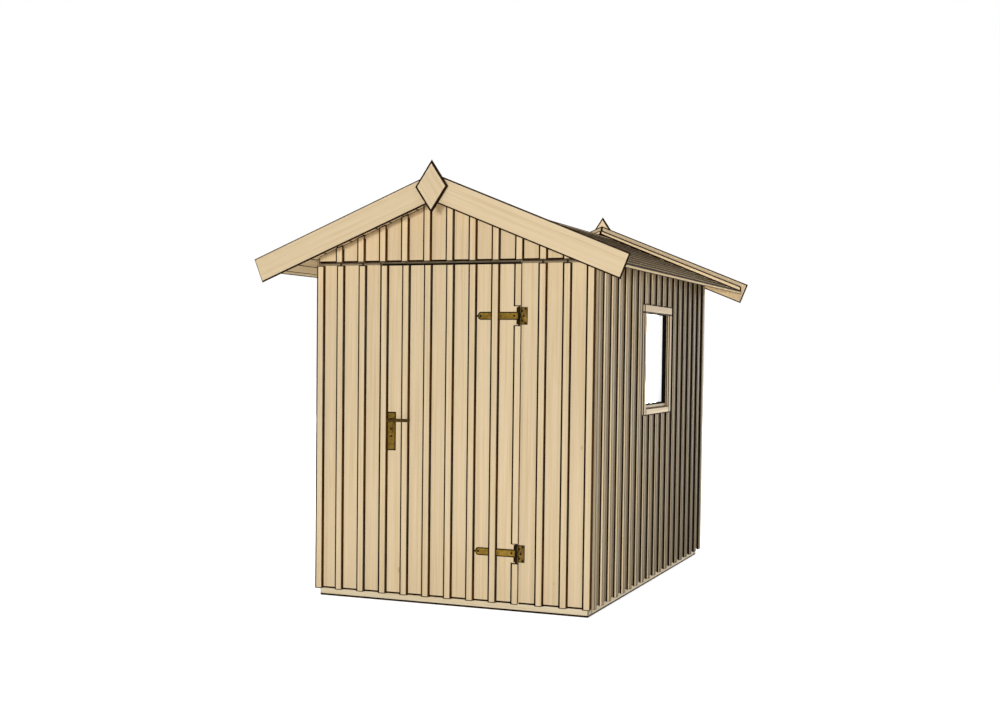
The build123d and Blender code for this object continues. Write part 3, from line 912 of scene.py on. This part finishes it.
def slotted_heads(name, body, places, head, materials):
    """Round heads with a slot across them: two half discs that stand on a thinner disc."""
    radius, height, slot_width = head
    slot_floor = height * SLOT_FLOOR_SHARE
    bm = bmesh.new()
    forward = UP.rotation_difference(-BACK).to_matrix().to_4x4()
    for place, turn in places:
        pose = Matrix.Translation(place) @ forward @ Matrix.Rotation(turn, 4, "Z")
        for half in (-1, 1):
            disc = bmesh.new()
            bmesh.ops.create_cone(disc, cap_ends=True, segments=HEAD_SIDES, radius1=radius,
                                  radius2=radius * HEAD_TAPER_SHARE, depth=height)
            cut(disc, RIGHT * half * slot_width / 2, -RIGHT * half, clear_outer=True)
            bmesh.ops.transform(disc, matrix=pose @ Matrix.Translation(UP * height / 2), verts=disc.verts)
            join(bm, disc)
        bmesh.ops.create_cone(bm, cap_ends=True, segments=HEAD_SIDES, radius1=radius, radius2=radius,
                              depth=slot_floor, matrix=pose @ Matrix.Translation(UP * slot_floor / 2))
    smooth(finished(name, bm, body, materials))


def screws():
    """Slotted screws in the leaves, the straps and the handle plate, and the plug of the lock."""
    plate_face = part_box("front_wall_right")[0].y - PLATE_THK

    def screw(x, z):
        """Place of a screw, and how far its slot is turned."""
        return Vector((x, plate_face, z)), chance.uniform(0, math.pi)

    places = []
    for low, high in stick_boxes("hinge_leaves"):
        for across, up in LEAF_SCREW_SHARES:
            x = high.x - LEAF_WIDTH * (1 - across)
            z = (low.z + high.z) / 2 + up * (high.z - low.z)
            places.append(screw(x, z))
    slotted_heads("leaf_screws", "shed", places, SCREW_HEAD, [PATINA])

    places = []
    for low, high in stick_boxes("hinge_straps"):
        for x in (low.x + STRAP_NIB + STRAP_SCREW_INSET, high.x - STRAP_ROOT_INSET):
            places.append(screw(x, (low.z + high.z) / 2))
    plate_low, plate_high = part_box("handle_plates")
    lever_low, lever_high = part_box("lever_handle")
    middle = (plate_low.x + plate_high.x) / 2
    places.append(screw(middle, (lever_low.z + lever_high.z) / 2 - LOCK_SCREW_DROP))
    slotted_heads("door_screws", "door", places, SCREW_HEAD, [PATINA])

    heights = (plate_low.z + PLATE_SCREW_INSET, plate_high.z - PLATE_SCREW_INSET)
    places = [screw(middle, z) for z in heights]
    slotted_heads("plate_screws", "door", places, SCREW_HEAD, BRASS_FINISHES["handle_plates"])

    lock_low, lock_high = min(stick_boxes("handle_plates"), key=lambda box: box[0].y)
    plug = Vector(((lock_low.x + lock_high.x) / 2, lock_low.y, lock_high.z - PLUG_DROP))
    slotted_heads("lock_plug", "door", [(plug, 0)], PLUG_HEAD, [PATINA])


def bedding():
    """Thin dark bedding that shows as a line of painted shade round the leaves, the straps and the handle
    plate.
    """
    board_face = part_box("front_wall_right")[0].y
    plate_face = board_face - PLATE_THK
    leaves = stick_boxes("hinge_leaves")
    pin = hinge_pin()

    def lay(bm, left, right, low, high):
        return box_between(bm, (left, board_face - BEDDING_THK, low), (right, board_face, high))

    def lay_under_strap(bm, left, right, low, high):
        """Bedding with a round end, a narrow piece under the nib, and a dark strip beside the knuckles, their
        painted shadow.
        """
        verts = lay(bm, left, right, low - BEDDING_MARGIN, high + BEDDING_MARGIN)
        end = {vert for vert in verts if abs(vert.co.x - left) < WELD}
        edges = dict.fromkeys(edge for vert in verts for edge in vert.link_edges
                              if end.issuperset(edge.verts))
        level = [edge for edge in edges if abs(edge.verts[0].co.z - edge.verts[1].co.z) < WELD]
        bmesh.ops.bevel(bm, geom=level, offset=(high - low) / 2, offset_type="OFFSET", affect="EDGES",
                        segments=BEDDING_END_SEGMENTS, profile=0.5, material=-1)
        middle = (low + high) / 2
        lay(bm, left - STRAP_NIB, left + STRAP_NIB, middle - NIB_BEDDING_HEIGHT / 2,
            middle + NIB_BEDDING_HEIGHT / 2)
        leaf_low, leaf_high = min(leaves, key=lambda box: abs(box[0].z + box[1].z - low - high))
        lay(bm, pin.x - KNUCKLE_SHADOW_STRIP[0], pin.x - KNUCKLE_SHADOW_STRIP[1], leaf_low.z, leaf_high.z)

    for node, body in (("hinge_leaves", "shed"), ("hinge_straps", "door"), ("handle_plates", "door")):
        source = merged_copy(node)
        bm = bmesh.new()
        for group in sticks(source):
            places = [vert.co for vert in group if abs(vert.co.y - plate_face) < WELD]
            if not places:
                continue
            left, right = min(p.x for p in places), max(p.x for p in places)
            low, high = min(p.z for p in places), max(p.z for p in places)
            if node == "hinge_straps":
                lay_under_strap(bm, left + STRAP_NIB - BEDDING_MARGIN, right, low, high)
            elif node == "hinge_leaves":
                lay(bm, left, right + LEAF_BEDDING_MARGIN, low - LEAF_BEDDING_MARGIN,
                    high + LEAF_BEDDING_MARGIN)
            else:
                lay(bm, left - BEDDING_MARGIN, right + BEDDING_MARGIN, low - BEDDING_MARGIN,
                    high + BEDDING_MARGIN)
        source.free()
        finished(node + "_bedding", bm, body, [SHADE_PACKING])


def pin_heads():
    """Round heads on the hinges' pins."""
    pin = hinge_pin()
    bm = bmesh.new()
    for low, high in stick_boxes("hinge_leaves"):
        for z in (low.z - PIN_HEAD_HEIGHT / 2, high.z + PIN_HEAD_HEIGHT / 2):
            bmesh.ops.create_cone(bm, cap_ends=True, segments=HEAD_SIDES, radius1=PIN_HEAD_RADIUS,
                                  radius2=PIN_HEAD_RADIUS, depth=PIN_HEAD_HEIGHT,
                                  matrix=Matrix.Translation((pin.x, pin.y, z)))
    bmesh.ops.bevel(bm, geom=sharp_edges(bm), offset=PIN_HEAD_EDGE, offset_type="OFFSET", affect="EDGES",
                    segments=PIN_HEAD_EDGE_SEGMENTS, profile=0.5, material=-1)
    smooth(finished("hinge_pin_heads", bm, "shed", [PATINA]))


def head_strip():
    """Timber strip on the head stop over the door, darkened with painted shade of the deep gap there, and a
    black rubber seal along its foot.
    """
    door_low, door_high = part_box("door_boards")
    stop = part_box("door_posts")[0].y
    left, right = door_low.x - HEAD_STRIP_REACH, door_high.x + HEAD_STRIP_REACH
    seal_top = door_high.z + SEAL_HEIGHT
    strip_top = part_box("gable_panels")[0].z + HEAD_STRIP_LAP
    bm = bmesh.new()
    box_between(bm, (left, stop - SEAL_THK, seal_top), (right, stop, strip_top))
    # Painted shade: the strip is darkened to a fifth of the timber's colour
    lay_grain(bm, RIGHT, even(HEAD_GAP_SHADE_TONE))
    finished("door_head_strip", bm, "shed", TIMBER_FINISHES["pale_timber"])
    bm = bmesh.new()
    box_between(bm, (left, stop - SEAL_THK, door_high.z - SEAL_HEIGHT), (right, stop, seal_top))
    ease(bm, sharp_edges(bm), RUBBER_EDGE, 0)
    finished("door_head_seal", bm, "shed", [RUBBER])


# Window
def gasket():
    """Rubber lining of the sash in front of the pane, with a bead on the pane's edge."""
    pane_low, pane_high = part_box("window_pane")
    face = pane_high.x
    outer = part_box("sash_rails")[1].x - GASKET_REBATE
    bm = bmesh.new()
    for thk, front in ((GASKET_THK, outer), (GASKET_BEAD, face + GASKET_BEAD_DEPTH)):
        for y0, y1 in ((pane_low.y, pane_low.y + thk), (pane_high.y - thk, pane_high.y)):
            box_between(bm, (face, y0, pane_low.z), (front, y1, pane_high.z))
        for z0, z1 in ((pane_low.z, pane_low.z + thk), (pane_high.z - thk, pane_high.z)):
            box_between(bm, (face, pane_low.y + thk, z0), (front, pane_high.y - thk, z1))
    ease(bm, sharp_edges(bm), RUBBER_EDGE, 0)
    finished("window_gasket", bm, "shed", [RUBBER])


def pane():
    """The pane keeps its CAD shape."""
    node = frame["nodes"]["window_pane"]
    node.data.materials.clear()
    node.data.materials.append(OPAL)


end_walls()
side_walls()
gables()
roof()
floor_boards()
battens()
packing("front_battens", "front_battens")
packing("door_battens", "door_boards")
packing("back_battens", "back_wall")
packing("gable_battens", "gable_panels")
packing("left_battens", "left_battens")
packing("right_battens", "right_battens")
other_timbers()
fittings()
screws()
bedding()
pin_heads()
head_strip()
gasket()
pane()


# Stage: white floor that keeps a soft shadow, and white surroundings. The floor's glow grows with distance
FLOOR_REACH = 60.0
FLOOR_WHITE = "#EDEDEC"
FLOOR_GLOW = (0.82, 1.0)
FLOOR_GLOW_REACH = (4.0, 14.0)
SKY_LEVEL = 0.16


def seen(tree):
    """1 for what the camera sees, also in a reflection or through glass, and 0 for what only gives light."""
    rays = add(tree, "LightPath").outputs
    direct = add(tree, "Math", {0: rays["Is Camera Ray"], 1: rays["Is Glossy Ray"]}, operation="MAXIMUM")
    whole = add(tree, "Math", {0: direct.outputs[0], 1: rays["Is Transmission Ray"]}, operation="MAXIMUM")
    return whole.outputs[0]


def studio_floor():
    """A wide matt floor that is white where the camera sees it, apart from the shed's shadow."""
    bm = bmesh.new()
    bmesh.ops.create_grid(bm, x_segments=1, y_segments=1, size=FLOOR_REACH)
    mesh = bpy.data.meshes.new("studio_floor")
    bm.to_mesh(mesh)
    bm.free()
    material, tree = new_material("white studio floor")
    matt = add(tree, "BsdfDiffuse", {"Color": linear(FLOOR_WHITE)})
    place = add(tree, "TexCoord").outputs["Object"]
    distance = add(tree, "VectorMath", {0: place}, operation="LENGTH").outputs["Value"]
    strength = add(tree, "MapRange", {"Value": distance, "From Min": FLOOR_GLOW_REACH[0],
                                      "From Max": FLOOR_GLOW_REACH[1], "To Min": FLOOR_GLOW[0],
                                      "To Max": FLOOR_GLOW[1]})
    glow = add(tree, "Emission", {"Color": linear("#FFFFFF"), "Strength": strength.outputs["Result"]})
    both = add(tree, "AddShader", {0: matt.outputs[0], 1: glow.outputs[0]})
    shown = add(tree, "MixShader", {0: seen(tree), 1: matt.outputs[0], 2: both.outputs[0]})
    add(tree, "OutputMaterial", {"Surface": shown.outputs[0]})
    mesh.materials.append(material)
    floor = bpy.data.objects.new("studio_floor", mesh)
    bpy.context.scene.collection.objects.link(floor)


def surroundings():
    """A dim white sky that gives light, shown to the camera as plain white."""
    world = bpy.data.worlds.new("studio")
    world.use_nodes = True
    tree = world.node_tree
    tree.nodes.clear()
    sky = add(tree, "Background", {"Color": linear("#FFFFFF"), "Strength": SKY_LEVEL})
    white = add(tree, "Background", {"Color": linear("#FFFFFF"), "Strength": 1.0})
    both = add(tree, "MixShader", {0: seen(tree), 1: sky.outputs[0], 2: white.outputs[0]})
    add(tree, "OutputWorld", {"Surface": both.outputs[0]})
    bpy.context.scene.world = world


# Lamps: azimuth in degrees (0 in front of the door, 90 to the right), distance, height, size and level
SOFTBOXES = {
    "front softbox": (14, 26.0, 0.9, (3.0, 1.6), 0.53),
    "right back softbox": (165, 24.0, 1.5, (4.0, 3.0), 0.45),
    "left back softbox": (215, 24.0, 6.0, (8.0, 6.0), 0.25),
}
OVERHEAD_HEIGHT = 14.0
OVERHEAD_SIZE = (10.0, 10.0)
OVERHEAD_LEVEL = 0.9


def soft_lamp(name, distance, size, level):
    """A large soft lamp that isn't seen itself.

    At a level of 1, white that faces the lamp from its distance renders white.
    """
    light = bpy.data.lights.new(name, "AREA")
    light.shape = "RECTANGLE"
    light.size, light.size_y = size
    light.energy = level * (math.pi * distance) ** 2
    obj = bpy.data.objects.new(name, light)
    obj.visible_camera = False
    bpy.context.scene.collection.objects.link(obj)
    return obj


def lamps():
    """Softboxes round the shed, and one over it, whose light the floor throws back up under the eaves."""
    for name, (azimuth, distance, height, size, level) in SOFTBOXES.items():
        turn = math.radians(azimuth)
        outward = Vector((math.sin(turn) * distance, -math.cos(turn) * distance, 0))
        obj = soft_lamp(name, distance, size, level)
        obj.location = outward + UP * height
        obj.rotation_mode = "QUATERNION"
        obj.rotation_quaternion = outward.to_track_quat("Z", "Y")
    overhead = soft_lamp("overhead softbox", OVERHEAD_HEIGHT, OVERHEAD_SIZE, OVERHEAD_LEVEL)
    overhead.location = UP * OVERHEAD_HEIGHT


# Camera of the photograph: place in metres, angles in degrees, lens and sensor in millimetres
CAMERA_PLACE = (3.169, -8.642, 1.516)
CAMERA_YAW = 21.447
CAMERA_PITCH = 2.371
CAMERA_ROLL = 0.69
LENS = 48.0
SENSOR_WIDTH = 36.0
SHIFT = (0.0014, 0.0547)


def camera():
    """The photograph's camera."""
    data = bpy.data.cameras.new("camera")
    data.sensor_width = SENSOR_WIDTH
    data.lens = LENS
    data.shift_x, data.shift_y = SHIFT
    obj = bpy.data.objects.new("camera", data)
    yaw = Matrix.Rotation(math.radians(CAMERA_YAW), 4, "Z")
    pitch = Matrix.Rotation(math.radians(90 - CAMERA_PITCH), 4, "X")
    roll = Matrix.Rotation(math.radians(CAMERA_ROLL), 4, "Z")
    obj.matrix_world = Matrix.Translation(CAMERA_PLACE) @ yaw @ pitch @ roll
    bpy.context.scene.collection.objects.link(obj)
    bpy.context.scene.camera = obj


studio_floor()
surroundings()
lamps()
camera()
bpy.context.scene.view_settings.view_transform = "Standard"
